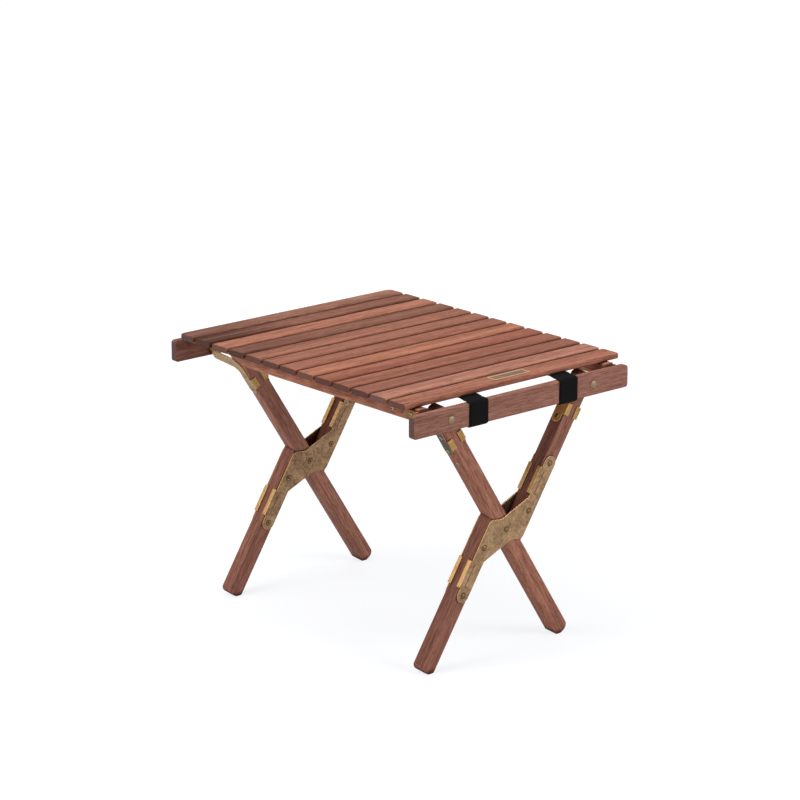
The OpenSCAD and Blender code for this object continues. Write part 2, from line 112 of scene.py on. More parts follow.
# How far apart the places of two boards in the grain are, for one step of their seeds
SEED_STEP = (1.37, 0.61, 0.83)

# Wood grain: its contrast and middle shade, and where each mark starts and is full
GRAIN_CONTRAST = 3.6
GRAIN_LEVEL = 0.52
RING_LINE_FADE = (0.016, 0.002)
PORE_FADE = (0.55, 0.72)
DARK_END_FADE = (0.02, -0.2)
HEARTWOOD_FADE = (0.5, 0.68)
END_GRAIN_FADE = (0.6, 0.9)
SPECKLE_FADE = (0.3, 0.7)
CORNER_FADE = (0.92, 0.5)

# Wood grain: shades of a board's own tone
DARK_GRAIN = (0.55, 0.5, 0.47)
LIGHT_GRAIN = (1.36, 1.38, 1.4)
RING_SHADE = (0.42, 0.36, 0.34)
PORE_SHADE = (0.36, 0.31, 0.28)
DARK_STREAK = (0.3, 0.26, 0.25)
END_GRAIN_DARK = (0.375, 0.45, 0.555)
END_GRAIN_LIGHT = (0.6, 0.72, 0.888)
# Painted shade in corners and gaps
PAINTED_CORNER_SHADE = (0.2, 0.13, 0.1)

# Brass: how far wear and painted highlight reach in from an edge and dirt and painted shade out of
# a corner, the side with a painted highlight and the side with painted shade, and clouds of patina
# to the metre
WEAR_AND_HIGHLIGHT_WIDTH = 0.0015
DIRT_AND_SHADE_REACH = 0.003
LIT_SIDE = (-0.88, 0.0, 0.47)
DARK_SIDE = (-0.82, 0.0, -0.57)
PATINA_CLOUDS = (240, 240, 240)
PATINA_BLOOMS = (45, 45, 45)
PATINA_SPECKS = (800, 800, 800)
SPECK_SHADE = (0.55, 0.52, 0.5)

# Brass: where each mark starts and is full
CLOUD_FADE = (0.3, 0.7)
BLOOM_FADE = (0.4, 0.7)
SPECK_FADE = (0.52, 0.75)
LIT_SIDE_FADE = (0.7, 0.9)
DARK_SIDE_FADE = (0.75, 0.92)
WEAR_AND_HIGHLIGHT_FADE = (0.01, 0.12)
DIRT_AND_SHADE_FADE = (0.85, 0.35)

# Leg frames: their lean, the direction across them, and the split leg's own lean
FRAME_LEAN = math.radians(5.2)
FRAME_AXIS = (0.0, math.cos(FRAME_LEAN), math.sin(FRAME_LEAN))
SPLIT_LEAN = math.radians(28.1)

# Painted shade: a dark ring round a rivet, and the dark hole in a hollow one: where each starts and
# is full, from the rivet's axis
RING_INSIDE = (0.0034, 0.004)
RING_OUTSIDE = (0.0058, 0.0046)
RIVET_HOLE = (0.0024, 0.0014)

# Pressed beads on the cross plates' arms: their line's distance from the cross along and across
# the split leg, and the dark line of painted shade round a bead, where it starts and is full, from
# the bead's line
BEAD_FROM = 0.072
BEAD_TO = 0.104
BEAD_OFF = 0.0298
BEAD_INSIDE = (0.00365, 0.00425)
BEAD_OUTSIDE = (0.00565, 0.00485)

# Nameplate: its bright rim, from wear and painted highlight, and the dark line of painted shade
# inside that, from the plate's edge
RIM = (0.0032, 0.0024)
RIM_LINE_OUTSIDE = (0.0028, 0.0032)
RIM_LINE_INSIDE = (0.0044, 0.0038)

# Studio
CAMERA_PLACE = (-3.217, -3.689, 1.774)
CAMERA_AIM = (0.6325, 0.7235, -0.2765)
CAMERA_LENS = 142.4
CAMERA_SENSOR = 36.0
FLOOR_HALF = 20.0
FLOOR_TONE = (0.86, 0.86, 0.86)
FLOOR_SEEN = (0.34, 0.33, 0.31)
FLOOR_LIFT = (0.79, 0.808, 0.838)
FLOOR_FADE = (0.9, 2.2)
AMBIENT = (0.07, 0.07, 0.072)
WHITE = (1.0, 1.0, 1.0)
BLACK = (0.0, 0.0, 0.0)
# Soft lights: name, place, side in metres, watts
LAMPS = [
    ("top_panel", (-0.3, 0.2, 3.0), 2.4, 44),
    ("left_panel", (-2.5, 0.4, 2.5), 1.8, 38),
    ("front_panel", (1.4, -3.0, 2.0), 1.8, 54),
]
LAMP_AIM = (0.0, 0.0, 0.3)

# Wood tones as they are seen in even light, from the far slat to the near one
SLAT_TONES = [
    (162, 114, 96),
    (140, 94, 77),
    (182, 122, 99),
    (142, 96, 79),
    (165, 110, 89),
    (159, 105, 86),
    (164, 107, 88),
    (184, 122, 97),
    (162, 102, 83),
    (161, 104, 84),
    (154, 100, 83),
    (186, 129, 109),
    (172, 114, 93),
]
# How strong each slat's grain is, from the far slat to the near one
SLAT_FIGURES = [1.5, 1.7, 1.1, 1.2, 1.0, 1.0, 1.0, 1.1, 1.0, 1.0, 1.0, 1.0, 1.1]
# Slats whose left ends have dark streaks, with how strong these are
DARK_ENDS = {1: 0.55, 2: 1.0, 4: 0.45}
END_RAIL_TONE = (166, 117, 102)
END_RAIL_FIGURE = 0.8
SIDE_RAIL_TONE = (202, 138, 112)
LEG_TONES = {
    "near_leg_a": (182, 125, 105),
    "near_leg_b_upper": (162, 112, 96),
    "near_leg_b_lower": (160, 109, 93),
    "far_leg_a": (184, 130, 112),
    "far_leg_b_upper": (166, 112, 95),
    "far_leg_b_lower": (174, 120, 103),
}
# Each rail's and leg's own place in the grain; slats take theirs from their number
END_RAIL_SEEDS = {"near": 21, "far": 22}
SIDE_RAIL_SEEDS = {"left": 23, "right": 24}
FIRST_LEG_SEED = 31

# Brass and other tones
BRASS_TONE = (180, 146, 109)
BRASS_PATINA = (121, 95, 70)
# Brass edges bright from wear and painted highlight
BRASS_WEAR_AND_HIGHLIGHT = (230, 184, 122)
# Painted highlight on brass faces that turn up and left
BRASS_HIGHLIGHT = (220, 172, 108)
FAR_PLATE_TONE = (173, 138, 104)
FAR_PLATE_PATINA = (105, 80, 60)
# Painted shade on brass faces that turn down and left
BRASS_DARK = (64, 50, 30)
# Brass dirt and painted shade, in hollows and round rivets, beads and the nameplate's rim
BRASS_DIRT_AND_SHADE = (40, 27, 18)
FITTING_TONE = (188, 148, 92)
FITTING_PATINA = (140, 108, 64)
CORNER_TONE = (136, 96, 62)
CORNER_PATINA = (112, 76, 50)
RIVET_TONE = (140, 108, 76)
RIVET_PATINA = (104, 80, 56)
HEAD_TONE = (140, 122, 96)
NAMEPLATE_TONE = (130, 86, 30)
NAMEPLATE_PATINA = (90, 58, 20)
STEEL_TONE = (138, 134, 128)
WEBBING_TONE = (20, 19, 19)
WEBBING_THREAD = (37, 35, 35)


def linear(tone):
    """A tone written in screen values, 0 to 255, as a linear colour."""
    shares = [value / 255 for value in tone]
    return tuple(s / 12.92 if s <= 0.04045 else ((s + 0.055) / 1.055) ** 2.4 for s in shares)


def shaded(colour, factors):
    """A linear colour times a factor for each channel."""
    return tuple(c * f for c, f in zip(colour, factors))


def opaque(colour):
    """A linear colour with full alpha, as a colour socket takes it."""
    return (*colour, 1.0)


class Socket:
    """A node's output. Arithmetic on it adds Math nodes to its finish."""

    def __init__(self, finish, output):
        self.finish = finish
        self.output = output

    def math(self, operation, first, second):
        """A Math node on two values, of which one at least is a socket."""
        return self.finish.node("ShaderNodeMath", {"operation": operation}, {0: first, 1: second})

    def __add__(self, other):
        return self.math("ADD", self, other)

    def __radd__(self, other):
        return self.math("ADD", other, self)

    def __sub__(self, other):
        return self.math("SUBTRACT", self, other)

    def __rsub__(self, other):
        return self.math("SUBTRACT", other, self)

    def __mul__(self, other):
        return self.math("MULTIPLY", self, other)

    def __rmul__(self, other):
        return self.math("MULTIPLY", other, self)

    def __abs__(self):
        return self.finish.node("ShaderNodeMath", {"operation": "ABSOLUTE"}, {0: self})


class Finish:
    """A node tree that a surface's finish is written in."""

    def __init__(self, tree):
        self.tree = tree
        tree.nodes.clear()

    def node(self, kind, settings=None, sockets=None, output=0):
        """Adds a node with its settings, then its sockets' values or links; returns one output."""
        made = self.tree.nodes.new(kind)
        for key, value in (settings or {}).items():
            setattr(made, key, value)
        for key, value in (sockets or {}).items():
            if isinstance(value, Socket):
                self.tree.links.new(value.output, made.inputs[key])
            else:
                made.inputs[key].default_value = value
        return Socket(self, made.outputs[output]) if made.outputs else None

    def vector(self, operation, first, second):
        """Vector maths on two vectors, which gives a vector."""
        return self.node("ShaderNodeVectorMath", {"operation": operation}, {0: first, 1: second})

    def dot(self, first, second):
        """How far two vectors go the same way."""
        return self.node("ShaderNodeVectorMath", {"operation": "DOT_PRODUCT"}, {0: first, 1: second}, 1)

    def length(self, run):
        return self.node("ShaderNodeVectorMath", {"operation": "LENGTH"}, {0: run}, 1)

    def part(self, run, axis):
        """One of a vector's three parts."""
        return self.node("ShaderNodeSeparateXYZ", {}, {0: run}, axis)

    def sine(self, value):
        return self.node("ShaderNodeMath", {"operation": "SINE"}, {0: value})

    def larger(self, first, second):
        return self.node("ShaderNodeMath", {"operation": "MAXIMUM"}, {0: first, 1: second})

    def smaller(self, first, second):
        return self.node("ShaderNodeMath", {"operation": "MINIMUM"}, {0: first, 1: second})

    def mix(self, factor, first, second):
        """First colour where the factor is 0, second where it is 1."""
        return self.node("ShaderNodeMix", {"data_type": "RGBA"}, {0: factor, 6: first, 7: second}, 2)

    def noise(self, place, stretch, detail, rough=0.55):
        """Cloudy value whose clouds are as many to the metre along each axis as stretch says."""
        spread = self.vector("MULTIPLY", place, stretch)
        return self.node(
            "ShaderNodeTexNoise",
            {},
            {"Vector": spread, "Scale": 1.0, "Detail": detail, "Roughness": rough},
        )

    def ramp(self, value, low, high):
        """0 at low, 1 at high, with soft ends."""
        return self.node(
            "ShaderNodeMapRange",
            {"interpolation_type": "SMOOTHSTEP"},
            {"Value": value, "From Min": low, "From Max": high},
        )

    def open_air(self, reach):
        """1 in the open, less in corners and gaps."""
        return self.node("ShaderNodeAmbientOcclusion", {"samples": 8}, {"Distance": reach}, 1)

    def surface(self, **sockets):
        """The shader of the whole surface, linked to the output."""
        named = {key.replace("_", " "): value for key, value in sockets.items()}
        shader = self.node("ShaderNodeBsdfPrincipled", {}, named)
        self.node("ShaderNodeOutputMaterial", {}, {"Surface": shader})


def new_finish(name):
    """A new material and the finish to write its nodes in."""
    material = bpy.data.materials.new(name)
    material.use_nodes = True
    return material, Finish(material.node_tree)


def oiled_wood(name, tone, grain=(1, 0, 0), seed=0.0, figure=1.0, dark_end=0.0):
    """Oiled wood: growth bands, long streaks and short dark pores along the grain, grey end grain, and
    painted shade in its corners and gaps.

    figure is how strong the grain is. Where dark_end is over 0, dark heartwood streaks run in from
    the end at low X.
    """
    material, f = new_finish(name)
    along = Vector(grain).normalized()
    turn = along.rotation_difference(Vector((1, 0, 0))).to_euler()
    place = f.node("ShaderNodeTexCoord", output="Object")
    facing = f.node("ShaderNodeTexCoord", output="Normal")
    shift = tuple(seed * step for step in SEED_STEP)
    lie = f.node("ShaderNodeMapping", {}, {"Vector": place, "Rotation": turn, "Location": shift})
    base = linear(tone)
    # Flat grain
    bands = f.noise(lie, GROWTH_BANDS, 4.0)
    streaks = f.noise(lie, LONG_STREAKS, 4.0, 0.6)
    fibres = f.noise(lie, FINE_FIBRES, 2.0)
    mixed = bands * 0.25 + streaks * 0.4 + fibres * 0.35
    shade = (mixed - 0.5) * (figure * GRAIN_CONTRAST) + GRAIN_LEVEL
    dark = opaque(shaded(base, DARK_GRAIN))
    light = opaque(shaded(base, LIGHT_GRAIN))
    flat_grain = f.mix(f.ramp(shade, 0.0, 1.0), dark, light)
    # Growth ring lines and pores
    ring_line = f.ramp(abs(f.noise(lie, RING_BANDS, 2.0) - 0.5), *RING_LINE_FADE)
    ringed = f.mix(ring_line * 0.4, flat_grain, opaque(shaded(base, RING_SHADE)))
    pores = f.ramp(f.noise(lie, SHORT_PORES, 2.0), *PORE_FADE)
    pored = f.mix(pores * 0.6, ringed, opaque(shaded(base, PORE_SHADE)))
    if dark_end:
        inwards = f.ramp(f.part(place, 0), *DARK_END_FADE)
        heart = f.ramp(f.noise(lie, HEARTWOOD, 4.0) + inwards * 0.16, *HEARTWOOD_FADE)
        pored = f.mix(heart * (inwards * dark_end), pored, opaque(shaded(base, DARK_STREAK)))
    # End grain
    end_on = f.dot(facing, tuple(along))
    end_grain = f.ramp(end_on * end_on, *END_GRAIN_FADE)
    speckle = f.ramp(f.noise(lie, END_SPECKLE, 3.0), *SPECKLE_FADE)
    end_dark = opaque(shaded(base, END_GRAIN_DARK))
    end_light = opaque(shaded(base, END_GRAIN_LIGHT))
    worked = f.mix(end_grain, pored, f.mix(speckle, end_dark, end_light))
    # Painted shade in the corners and gaps, rubbed edges
    corner = f.ramp(f.open_air(CORNER_SHADE_REACH), *CORNER_FADE)
    soft = f.node("ShaderNodeBevel", {"samples": 4}, {"Radius": RUBBED_EDGE})
    relief = f.node(
        "ShaderNodeBump",
        {},
        {"Strength": 0.25, "Distance": 0.0003, "Height": streaks * 0.5 - pores * 0.6, "Normal": soft},
    )
    f.surface(
        Base_Color=f.mix(corner * 0.9, worked, opaque(shaded(base, PAINTED_CORNER_SHADE))),
        Roughness=0.52 + streaks * 0.2 + end_grain * 0.2,
        Specular_IOR_Level=0.05,
        Normal=relief,
    )
    return material


def off_axis(f, offset):
    """How far an offset goes aside from a line across a leg frame."""
    return f.length(f.vector("CROSS_PRODUCT", offset, FRAME_AXIS))


def rivet_shade(f, place, rivet, hollow):
    """Painted shade: a dark ring round a rivet, and the dark hole in a hollow one."""
    away = off_axis(f, f.vector("SUBTRACT", place, rivet))
    ring = f.ramp(away, *RING_INSIDE) * f.ramp(away, *RING_OUTSIDE)
    return f.larger(ring * 0.85, f.ramp(away, *RIVET_HOLE) * hollow)


def bead_shade(f, place, start, end):
    """Painted shade: a dark line round a pressed bead, which goes from start to end."""
    run = end - start
    off = f.vector("SUBTRACT", place, start)
    share = f.node("ShaderNodeClamp", {}, {"Value": f.dot(off, run / run.length_squared)})
    foot = f.node("ShaderNodeVectorMath", {"operation": "SCALE"}, {0: run, "Scale": share})
    away = off_axis(f, f.vector("SUBTRACT", off, foot))
    return f.ramp(away, *BEAD_INSIDE) * f.ramp(away, *BEAD_OUTSIDE) * 0.7


def bright_rim(f, place, plate, colour, wear_and_highlight):
    """A flat plate's colour with a bright rim round it, from wear and painted highlight, and a dark
    line of painted shade inside the rim.
    """
    low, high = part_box(plate)
    gaps = []
    for axis in (0, 1):
        off = abs(f.part(place, axis) - (low[axis] + high[axis]) / 2)
        gaps.append((high[axis] - low[axis]) / 2 - off)
    inside = f.smaller(*gaps)
    rim = f.ramp(inside, *RIM)
    line = f.ramp(inside, *RIM_LINE_OUTSIDE) * f.ramp(inside, *RIM_LINE_INSIDE)
    bright = f.mix(rim * 0.7, colour, opaque(linear(wear_and_highlight)))
    return f.mix(line * 0.6, bright, opaque(linear(BRASS_DIRT_AND_SHADE)))


def antique_brass(
    name,
    tone=BRASS_TONE,
    patina=BRASS_PATINA,
    wear_and_highlight=BRASS_WEAR_AND_HIGHLIGHT,
    side_highlight=1.0,
    dark_side=0.0,
    rim_of=None,
    rivets=(),
    hollow=0.0,
    beads=(),
    rough=0.46,
    metal=0.9,
):
    """Dull brass with a finely clouded patina, dirt and painted shade in its hollows, edges bright from
    wear and painted highlight, and a painted highlight on the faces that turn up and left.

    side_highlight is how strong the painted highlight is on the faces that turn up and left, such as
    the folded tabs, dark_side how far the faces that turn down and left get painted shade. rim_of
    names a flat plate that gets a bright rim. rivets are the places of rivets across a leg frame,
    and beads the ends of the pressed beads' lines, which both have a dark line of painted shade
    round them. hollow is how dark the painted shade in the rivets' holes is.
    """
    material, f = new_finish(name)
    place = f.node("ShaderNodeTexCoord", output="Object")
    turned = f.node("ShaderNodeTexCoord", output="Normal")
    facing = f.node("ShaderNodeNewGeometry", output="Normal")
    # Patina
    clouds = f.ramp(f.noise(place, PATINA_CLOUDS, 4.0), *CLOUD_FADE)
    blooms = f.ramp(f.noise(place, PATINA_BLOOMS, 3.0), *BLOOM_FADE)
    specks = f.ramp(f.noise(place, PATINA_SPECKS, 3.0), *SPECK_FADE)
    body = f.mix(clouds * 0.55 + blooms * 0.45, opaque(linear(patina)), opaque(linear(tone)))
    spotted = f.mix(specks * 0.25, body, opaque(shaded(linear(patina), SPECK_SHADE)))
    # Painted highlight on the faces that turn up and left, such as the folded tabs
    highlit = f.ramp(f.dot(turned, LIT_SIDE), *LIT_SIDE_FADE)
    lined = f.mix(highlit * ((0.45 + clouds * 0.4) * side_highlight), spotted, opaque(linear(BRASS_HIGHLIGHT)))
    if rim_of:
        lined = bright_rim(f, place, rim_of, lined, wear_and_highlight)
    # Edges bright from wear and painted highlight, dirt and painted shade in the hollows, and painted
    # shade round the rivets and beads
    soft = f.node("ShaderNodeBevel", {"samples": 6}, {"Radius": WEAR_AND_HIGHLIGHT_WIDTH})
    edge = f.ramp(1 - f.dot(soft, facing), *WEAR_AND_HIGHLIGHT_FADE)
    dirt_and_shade = f.ramp(f.open_air(DIRT_AND_SHADE_REACH), *DIRT_AND_SHADE_FADE)
    for rivet in rivets:
        dirt_and_shade = f.larger(dirt_and_shade, rivet_shade(f, place, rivet, hollow))
    for start, end in beads:
        dirt_and_shade = f.larger(dirt_and_shade, bead_shade(f, place, start, end))
    shine = metal
    gloss = rough - clouds * 0.06 - edge * 0.1 + dirt_and_shade * 0.3
    # Painted shade on the faces that turn down and left: darker, duller and less metal
    if dark_side:
        shy = f.ramp(f.dot(turned, DARK_SIDE), *DARK_SIDE_FADE)
        lined = f.mix(shy * dark_side, lined, opaque(linear(BRASS_DARK)))
        shine = metal - shy * (dark_side * 0.8)
        gloss = gloss + shy * (dark_side * 0.2)
    # Edges bright from wear and painted highlight
    edged = f.mix(edge * 0.8, lined, opaque(linear(wear_and_highlight)))
    relief = f.node(
        "ShaderNodeBump",
        {},
        {"Strength": 0.15, "Distance": 0.0002, "Height": clouds + specks * 0.5, "Normal": soft},
    )
    f.surface(
        Base_Color=f.mix(dirt_and_shade * 0.9, edged, opaque(linear(BRASS_DIRT_AND_SHADE))),
        Metallic=shine,
        Roughness=gloss,
        Normal=relief,
    )
    return material


def flat_weave(name):
    """Black webbing: fine ribs along the band crossed by picks, with a few paler threads."""
    material, f = new_finish(name)
    run = f.node("ShaderNodeAttribute", {"attribute_name": "weave"}, output="Vector")
    ribs = f.sine(f.part(run, 0) * (2 * math.pi / WEAVE_RIB))
    picks = f.sine(f.part(run, 1) * (2 * math.pi / WEAVE_PICK) + ribs * 1.2)
    cloth = ribs * 0.5 + picks * 0.5
    lint = f.noise(run, WEAVE_LINT, 3.0)
    threads = f.ramp(cloth * 0.5 + lint, *THREAD_FADE)
    relief = f.node("ShaderNodeBump", {}, {"Strength": 0.6, "Distance": 0.0003, "Height": cloth})
    f.surface(
        Base_Color=f.mix(threads, opaque(linear(WEBBING_TONE)), opaque(linear(WEBBING_THREAD))),
        Roughness=0.95 - threads * 0.1,
        Specular_IOR_Level=0.05,
        Normal=relief,
    )
    return material


def finish_node(name, material):
    """Gives a node of the model its finish in place of the plain one."""
    mesh = nodes[name].data
    mesh.materials.clear()
    mesh.materials.append(material)


def new_object(name, mesh, material):
    """An object of a mesh in one finish, put in the scene."""
    mesh.materials.append(material)
    made = bpy.data.objects.new(name, mesh)
    bpy.context.scene.collection.objects.link(made)
    return made


def rivet_places(name):
    """Middles of the separate rivets in a node."""
    made = bmesh.new()
    made.from_mesh(nodes[name].data)
    bmesh.ops.remove_doubles(made, verts=made.verts, dist=SAME_POINT)
    left = set(made.verts)
    places = []
    while left:
        rivet = set()
        edge = [left.pop()]
        while edge:
            vert = edge.pop()
            rivet.add(vert)
            for line in vert.link_edges:
                other = line.other_vert(vert)
                if other in left:
                    left.remove(other)
                    edge.append(other)
        low = Vector([min(v.co[i] for v in rivet) for i in range(3)])
        high = Vector([max(v.co[i] for v in rivet) for i in range(3)])
        places.append((low + high) / 2)
    made.free()
    return places


def bead_lines(side):
    """Ends of the lines of a frame's two pressed beads, on its plates' upper and lower arms."""
    tilt = Vector((1, 0, 0)).cross(Vector(FRAME_AXIS))
    cross = rivet_places(f"{side}_centre_rivet")[0]
    lines = []
    for sign in (1, -1):
        ends = []
        for reach in (BEAD_FROM, BEAD_TO):
            x = BEAD_OFF * math.cos(SPLIT_LEAN) + reach * math.sin(SPLIT_LEAN)
            up = reach * math.cos(SPLIT_LEAN) - BEAD_OFF * math.sin(SPLIT_LEAN)
            ends.append(cross + sign * (Vector((x, 0, 0)) + tilt * up))
        lines.append(ends)
    return lines


def middle(name):
    """Middle of a node's box."""
    low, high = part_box(name)
    return (low + high) / 2


def run_lengths(points):
    """Distance along a path to each of its points."""
    lengths = [0.0]
    for before, after in zip(points, points[1:]):
        lengths.append(lengths[-1] + (Vector(after) - Vector(before)).length)
    return lengths


def straight(start, end):
    """Points from start up to but not including end, about one step apart."""
    a = Vector(start)
    b = Vector(end)
    count = max(1, round((b - a).length / BAND_STEP))
    return [tuple(a.lerp(b, i / count)) for i in range(count)]


def bend(centre, radius, first, last):
    """Points of a bend round a rail's edge, with the angles in degrees from +Y towards +Z."""
    points = []
    for i in range(BAND_CORNER_STEPS + 1):
        turn = math.radians(first + (last - first) * i / BAND_CORNER_STEPS)
        points.append((centre[0] + radius * math.cos(turn), centre[1] + radius * math.sin(turn)))
    return points


def band_strip(name, x, path, material):
    """A strip of webbing with round selvedges, swept along a path of (y, z) points."""
    mesh = bpy.data.meshes.new(name)
    made = bmesh.new()
    weave = made.verts.layers.float_vector.new("weave")
    lengths = run_lengths(path)
    rings = []
    for i, point in enumerate(path):
        ahead = Vector(path[min(i + 1, len(path) - 1)]) - Vector(path[max(i - 1, 0)])
        ahead.normalize()
        out = Vector((-ahead.y, ahead.x))
        ring = []
        for face in (1, -1):
            for j in range(BAND_ROWS_ACROSS + 1):
                share = j / BAND_ROWS_ACROSS * 2 - 1
                half = BAND_THICK / 2 * (1 - abs(share) ** SELVEDGE_POWER * SELVEDGE_THIN)
                shift = Vector(point) + out * (half * face)
                vert = made.verts.new((x + share * BAND_WIDTH / 2, shift.x, shift.y))
                vert[weave] = (share * BAND_WIDTH / 2, lengths[i], 0.0)
                ring.append(vert)
        top = ring[: BAND_ROWS_ACROSS + 1]
        under = ring[BAND_ROWS_ACROSS + 1 :]
        rings.append(top + under[::-1])
    count = len(rings[0])
    for before, after in zip(rings, rings[1:]):
        for j in range(count):
            k = (j + 1) % count
            made.faces.new((before[j], before[k], after[k], after[j]))
    made.faces.new(rings[0][::-1])
    made.faces.new(rings[-1])
    bmesh.ops.recalc_face_normals(made, faces=made.faces)
    for face in made.faces:
        face.smooth = len(face.verts) == 4
    made.to_mesh(mesh)
    made.free()
    strip = new_object(name, mesh, material)
    return strip


def slat_body(k):
    """The body that slat k rides on; the near slat is fixed to the rails."""
    return "root" if k == SLAT_COUNT else f"slat_{k}"


def band_x(sign):
    """X of the middle of the left band, for -1, or the right one, for 1."""
    return sign * (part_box(MIDDLE_WEBBING)[1].x - BAND_WIDTH / 2)


def weave_bands(material):
    """Webbing under the slats: for each hinge, a strip from the middle of one slat to the next."""
    level = middle(MIDDLE_WEBBING).z
    for k in range(1, SLAT_COUNT):
        near = middle(f"slat_{k + 1}").y
        far = middle(f"slat_{k}").y
        for side, sign in BAND_SIDES.items():
            x = band_x(sign)
            path = straight((near, level), (far, level)) + [(far, level)]
            strip = band_strip(f"band_{side}_{k}", x, path, material)
            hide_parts(f"webbing_{k}")
            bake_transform(strip)


def end_path(rail, slat, sign, under):
    """A band's end: under the last slat, over the rail and down its outer face, and under it.

    sign is 1 for the far rail and -1 for the near one.
    """
    low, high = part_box(rail)
    level = middle(MIDDLE_WEBBING).z
    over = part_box("near_strap_loops")[1].z - BAND_THICK / 2
    reach = RAIL_EDGE + RAIL_CLEAR + BAND_THICK / 2
    outer = high.y - RAIL_EDGE if sign > 0 else low.y + RAIL_EDGE
    inner = low.y if sign > 0 else high.y
    up_turn, face_turn, down_turn = (90, 0, -90) if sign > 0 else (90, 180, 270)
    start = middle(slat).y
    lip = start + sign * SLAT_LIP
    path = straight((start, level), (lip, level))
    path += straight((lip, level), (inner, over))
    path += straight((inner, over), (outer, over))
    path += bend((outer, high.z - RAIL_EDGE), reach, up_turn, face_turn)
    face = outer + sign * reach
    path += straight((face, high.z - RAIL_EDGE - BAND_STEP), (face, low.z + RAIL_EDGE))
    if not under:
        return path + [(face, low.z + RAIL_EDGE)]
    path += bend((outer, low.z + RAIL_EDGE), reach, face_turn, down_turn)
    tail = (outer - sign * TAIL_REACH, low.z - reach + RAIL_EDGE)
    return path + straight(path[-1], tail)[1:] + [tail]


def wrap_ends(material):
    """The bands' ends over the two end rails, on the near slat's rail and on the far slat."""
    ends = {
        "near": ("near_end_rail", f"slat_{SLAT_COUNT}", -1, True, "root"),
        "far": ("far_end_rail", "slat_1", 1, False, "slat_1"),
    }
    for end, (rail, slat, sign, under, body) in ends.items():
        path = end_path(rail, slat, sign, under)
        for side, x_sign in BAND_SIDES.items():
            strip = band_strip(f"band_end_{end}_{side}", band_x(x_sign), path, material)
            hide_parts(f"{end}_strap_loops")
            if end == "near":
                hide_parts(f"webbing_{SLAT_COUNT}")
            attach(strip, body)


def leg_direction(node):
    """Direction of a leg bar, from the middle of its lowest points to the middle of its highest."""
    points = [v.co for v in nodes[node].data.vertices]
    low = min(p.z for p in points)
    high = max(p.z for p in points)
    feet = [p for p in points if p.z < low + LEG_END]
    tops = [p for p in points if p.z > high - LEG_END]
    return sum(tops, Vector()) / len(tops) - sum(feet, Vector()) / len(feet)


def round_far_corners(made, low, high):
    """Rounds a slat's two far corners, as they are seen from above."""
    radius = FAR_SLAT_CORNER
    for i in range(2, FAR_SLAT_CORNER_STEPS + 1):
        depth = radius * (1 - math.cos(math.pi / 2 * i / FAR_SLAT_CORNER_STEPS))
        for x in (low.x + depth, high.x - depth):
            whole = made.verts[:] + made.edges[:] + made.faces[:]
            bmesh.ops.bisect_plane(
                made, geom=whole, dist=SAME_PLANE, plane_co=(x, 0, 0), plane_no=(1, 0, 0)
            )
    for vert in made.verts:
        depth = min(vert.co.x - low.x, high.x - vert.co.x)
        if vert.co.y > (low.y + high.y) / 2 and depth < radius:
            vert.co.y -= radius - math.sqrt(max(0.0, radius**2 - (radius - depth) ** 2))


def round_edges(made, edges, radius, steps):
    """Works some edges of a mesh round."""
    bmesh.ops.bevel(made, geom=edges, offset=radius, segments=steps, profile=0.5, affect="EDGES")


def slat_board(k, material):
    """A slat with all its edges worked round, in place of the model's plainer one."""
    low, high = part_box(f"slat_{k}")
    name = f"slat_board_{k}"
    mesh = bpy.data.meshes.new(name)
    made = bmesh.new()
    bmesh.ops.create_cube(made, size=1.0)
    for vert in made.verts:
        vert.co = [(low[i] + high[i]) / 2 + vert.co[i] * (high[i] - low[i]) for i in range(3)]
    long_edges = [e for e in made.edges if abs(e.verts[0].co.x - e.verts[1].co.x) > SLAT_EDGE]
    round_edges(made, long_edges, SLAT_EDGE, SLAT_EDGE_STEPS)
    end_edges = [e for e in made.edges if abs(e.verts[0].co.x - e.verts[1].co.x) < SLAT_END_EDGE]
    round_edges(made, end_edges, SLAT_END_EDGE, SLAT_END_STEPS)
    if k == 1:
        round_far_corners(made, low, high)
    made.normal_update()
    for face in made.faces:
        face.smooth = max(abs(c) for c in face.normal) < FLAT_FACE
    made.to_mesh(mesh)
    made.free()
    board = new_object(name, mesh, material)
    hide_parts(f"slat_{k}")
    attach(board, slat_body(k))


def finish_wood():
    """Slats, rails and legs in oiled wood, each with its own tone and grain."""
    for k in range(1, SLAT_COUNT + 1):
        tone = SLAT_TONES[k - 1]
        figure = SLAT_FIGURES[k - 1]
        dark = DARK_ENDS.get(k, 0.0)
        slat_board(k, oiled_wood(f"slat_wood_{k}", tone, seed=k, figure=figure, dark_end=dark))
    for end, seed in END_RAIL_SEEDS.items():
        wood = oiled_wood(f"{end}_rail_wood", END_RAIL_TONE, seed=seed, figure=END_RAIL_FIGURE)
        finish_node(f"{end}_end_rail", wood)
    for side, seed in SIDE_RAIL_SEEDS.items():
        wood = oiled_wood(f"{side}_rail_wood", SIDE_RAIL_TONE, (0, 1, 0), seed)
        finish_node(f"{side}_side_rail", wood)
    for seed, (node, tone) in enumerate(LEG_TONES.items(), FIRST_LEG_SEED):
        finish_node(node, oiled_wood(f"{node}_wood", tone, leg_direction(node), seed))


